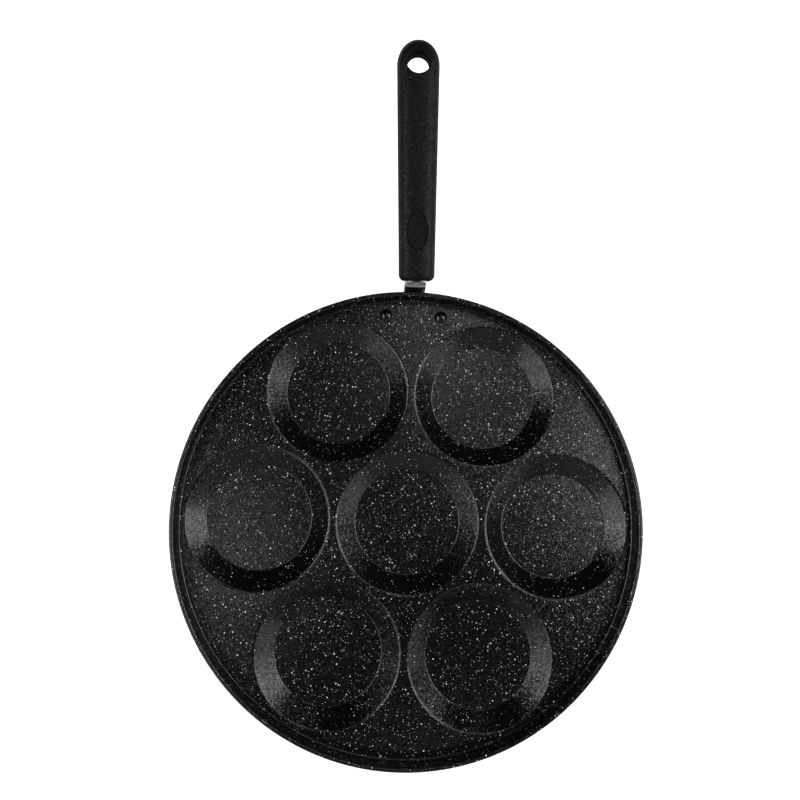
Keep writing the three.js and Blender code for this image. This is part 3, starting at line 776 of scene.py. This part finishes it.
def linear(code):
    """Linear values of an sRGB hex colour."""
    levels = [int(code[i : i + 2], 16) / 255 for i in (0, 2, 4)]
    return (*(v / 12.92 if v <= 0.04045 else ((v + 0.055) / 1.055) ** 2.4 for v in levels), 1.0)


def new_material(name):
    """An empty material, its tree and the object's own coordinates, which its patterns follow."""
    material = bpy.data.materials.new(name)
    material.use_nodes = True
    material.node_tree.nodes.clear()
    spot = add_node(material.node_tree, "ShaderNodeTexCoord").outputs["Object"]
    return material, material.node_tree, spot


def surface(tree, inputs):
    """Ends a material in one shader."""
    shader = add_node(tree, "ShaderNodeBsdfPrincipled", inputs).outputs[0]
    add_node(tree, "ShaderNodeOutputMaterial", {"Surface": shader})


def leaning_grains(tree, spot, size, tilt):
    """Normals of a coat of small grains, each of which leans its own way: most slightly, a few steeply."""
    cells = add_node(tree, "ShaderNodeTexVoronoi", {"Vector": spot, "Scale": 1 / size}).outputs
    lean = add_node(
        tree, "ShaderNodeVectorMath", {0: cells["Color"], 1: (0.5, 0.5, 0.5)}, operation="SUBTRACT"
    ).outputs[0]
    square = add_node(tree, "ShaderNodeVectorMath", {0: lean, 1: lean}, operation="MULTIPLY").outputs[0]
    cube = add_node(tree, "ShaderNodeVectorMath", {0: square, 1: lean}, operation="MULTIPLY").outputs[0]
    plain = add_node(tree, "ShaderNodeNewGeometry").outputs["Normal"]
    # The largest lean is a half, whose cube is an eighth.
    steepest = 8 * tilt
    leaning = add_node(
        tree,
        "ShaderNodeVectorMath",
        {0: cube, 1: (steepest, steepest, steepest), 2: plain},
        operation="MULTIPLY_ADD",
    ).outputs[0]
    return add_node(tree, "ShaderNodeVectorMath", {0: leaning}, operation="NORMALIZE").outputs[0]


def by_slope(tree, levels, values):
    """A value that changes as a face goes from steep to flat; levels are upward parts of its normal."""
    normal = add_node(tree, "ShaderNodeNewGeometry").outputs["Normal"]
    upward = add_node(tree, "ShaderNodeSeparateXYZ", {"Vector": normal}).outputs["Z"]
    reach = {"From Min": levels[0], "From Max": levels[1], "To Min": values[0], "To Max": values[1]}
    return add_node(tree, "ShaderNodeMapRange", {"Value": upward, **reach}).outputs[0]


def specks(tree, spot, cell, share, largest):
    """Specks in a share of the cells, each with its own size and shade; zero between them."""
    cells = add_node(tree, "ShaderNodeTexVoronoi", {"Vector": spot, "Scale": 1 / cell}).outputs
    chance = add_node(tree, "ShaderNodeSeparateColor", {"Color": cells["Color"]}).outputs
    reach = {"From Min": 1 - share, "From Max": 1 - share / 2, "To Min": 0.0, "To Max": largest / cell}
    size = add_node(tree, "ShaderNodeMapRange", {"Value": chance["Red"], **reach}).outputs[0]
    # The walls catch less of the spray than flat faces do.
    growth = by_slope(tree, (WALL_LEVEL, 1.0), (WALL_SPECKS, 1.0))
    size = add_node(tree, "ShaderNodeMath", {0: size, 1: growth}, operation="MULTIPLY").outputs[0]
    inside = add_node(
        tree, "ShaderNodeMath", {0: cells["Distance"], 1: size}, operation="LESS_THAN"
    ).outputs[0]
    darkest, lightest = (linear(code)[0] for code in SPECK_SHADES)
    shades = {"To Min": darkest, "To Max": lightest}
    shade = add_node(tree, "ShaderNodeMapRange", {"Value": chance["Green"], **shades}).outputs[0]
    return add_node(tree, "ShaderNodeMath", {0: inside, 1: shade}, operation="MULTIPLY").outputs[0]


def stone_effect_coat():
    """Black non-stick coat, sprayed with grey and white specks: a gloss that its small grains break up."""
    material, tree, spot = new_material("stone_effect_coat_sprayed")
    grains = specks(tree, spot, GRAIN_CELL, GRAIN_SHARE, GRAIN_LARGEST)
    flecks = specks(tree, spot, FLECK_CELL, FLECK_SHARE, FLECK_LARGEST)
    both = add_node(tree, "ShaderNodeMath", {0: grains, 1: flecks}, operation="MAXIMUM").outputs[0]
    black = linear(COAT_BLACK)[0]
    shade = add_node(tree, "ShaderNodeMath", {0: both, 1: black}, operation="MAXIMUM").outputs[0]
    normal = leaning_grains(tree, spot, PEBBLE, PEBBLE_TILT)
    surface(tree, {"Base Color": shade, "Roughness": 0.2, "IOR": 1.48, "Normal": normal})
    return material


def glossy_enamel():
    """Dipped black enamel on the rivets: smooth, with small clear highlights."""
    material, tree, _ = new_material("black_enamel_dipped")
    surface(tree, {"Base Color": linear("060606"), "Roughness": 0.06})
    return material


def rolled_steel():
    """Bare rolled steel strip: a pale, soft mirror."""
    material, tree, _ = new_material("steel_strip_rolled")
    surface(tree, {"Base Color": linear("b0aeab"), "Metallic": 1.0, "Roughness": 0.26})
    return material


def black_phenolic():
    """Moulded black phenolic: a soft sheen on its grain, and dull where it was drawn along the mould."""
    material, tree, spot = new_material("phenolic_moulded")
    grain = leaning_grains(tree, spot, GRIP_GRAIN, GRIP_GRAIN_TILT)
    roughness = by_slope(tree, GRIP_SLOPES, GRIP_ROUGHNESS)
    finish = {"Roughness": roughness, "Specular IOR Level": 0.15, "Normal": grain}
    surface(tree, {"Base Color": linear("0e0e0f"), **finish})
    return material


def zinc_plate():
    """Zinc plate on the screw and its washer: bright, cool and a little blurred."""
    material, tree, _ = new_material("zinc_plated")
    surface(tree, {"Base Color": linear("b9bcc0"), "Metallic": 1.0, "Roughness": 0.28})
    return material


def seen_white(tree, direct, mirrored):
    """Strength of a white glow that the camera and reflections see, and that adds no light to the object."""
    path = add_node(tree, "ShaderNodeLightPath").outputs
    glossy = add_node(
        tree,
        "ShaderNodeMath",
        {0: path["Is Glossy Ray"], 1: path["Is Transmission Ray"]},
        operation="MAXIMUM",
    ).outputs[0]
    glossy = add_node(tree, "ShaderNodeMath", {0: glossy, 1: mirrored}, operation="MULTIPLY").outputs[0]
    return add_node(
        tree,
        "ShaderNodeMath",
        {0: path["Is Camera Ray"], 1: direct, 2: glossy},
        operation="MULTIPLY_ADD",
    ).outputs[0]


def white_floor():
    """White paper under the pan, which keeps the pan's shadow."""
    material, tree, _ = new_material("white_paper")
    glow = seen_white(tree, FLOOR_GLOW, FLOOR_GLOW_MIRRORED)
    white = linear("f4f4f4")
    surface(tree, {"Base Color": white, "Roughness": 0.9, "Emission Color": white, "Emission Strength": glow})
    corners = [(-1, -1), (1, -1), (1, 1), (-1, 1)]
    points = [(x * FLOOR_HALF, y * FLOOR_HALF, -FLOOR_GAP) for x, y in corners]
    floor = new_object("white_floor", points, faces=[range(4)])
    floor.data.materials.append(material)


def white_world():
    """White past the floor's edge, for the camera and in reflections."""
    world = bpy.data.worlds.new("white_room")
    world.use_nodes = True
    world.node_tree.nodes.clear()
    glow = seen_white(world.node_tree, 1.0, 1.0)
    back = add_node(world.node_tree, "ShaderNodeBackground", {"Strength": glow}).outputs[0]
    add_node(world.node_tree, "ShaderNodeOutputWorld", {"Surface": back})
    bpy.context.scene.world = world


def dark_tent():
    """A black cloth dome that the camera doesn't see, so that only the lamps show in the pan's gloss."""
    material, tree, _ = new_material("black_cloth")
    surface(tree, {"Base Color": linear("050505"), "Roughness": 1.0, "Specular IOR Level": 0.0})
    profile = arc(0.0, 0.0, TENT_RADIUS, TENT_START, 90, 2 * ARC_STEPS)
    tent = turned_object("dark_tent", profile, FASTENER_SEGMENTS)
    tent.data.materials.append(material)
    tent.visible_camera = False


def area_lamp(name, place, size, radiance):
    """A soft box that faces the pan."""
    lamp = bpy.data.lights.new(name, "AREA")
    lamp.shape = "RECTANGLE"
    lamp.size, lamp.size_y = size
    lamp.energy = radiance * math.pi * size[0] * size[1]
    obj = bpy.data.objects.new(name, lamp)
    obj.location = place
    obj.rotation_euler = (-Vector(place)).to_track_quat("-Z", "Y").to_euler()
    obj.visible_camera = False
    bpy.context.scene.collection.objects.link(obj)


def photo_camera():
    """The photograph's camera."""
    camera = bpy.data.cameras.new("photo_camera")
    camera.lens = CAMERA_LENS
    camera.sensor_width = SENSOR
    camera.clip_start = CAMERA_NEAR
    obj = bpy.data.objects.new("photo_camera", camera)
    obj.location = CAMERA_PLACE
    obj.rotation_euler = CAMERA_TURN
    bpy.context.scene.collection.objects.link(obj)
    bpy.context.scene.camera = obj


pressed_body(stone_effect_coat())
rivets(glossy_enamel())
folded_bracket(rolled_steel())
moulded_grip(black_phenolic())
zinc = zinc_plate()
grip_screw(zinc)
split_washer(zinc)
white_floor()
white_world()
for lamp in LAMPS:
    area_lamp(*lamp)
dark_tent()
photo_camera()
bpy.context.scene.view_settings.view_transform = "Standard"
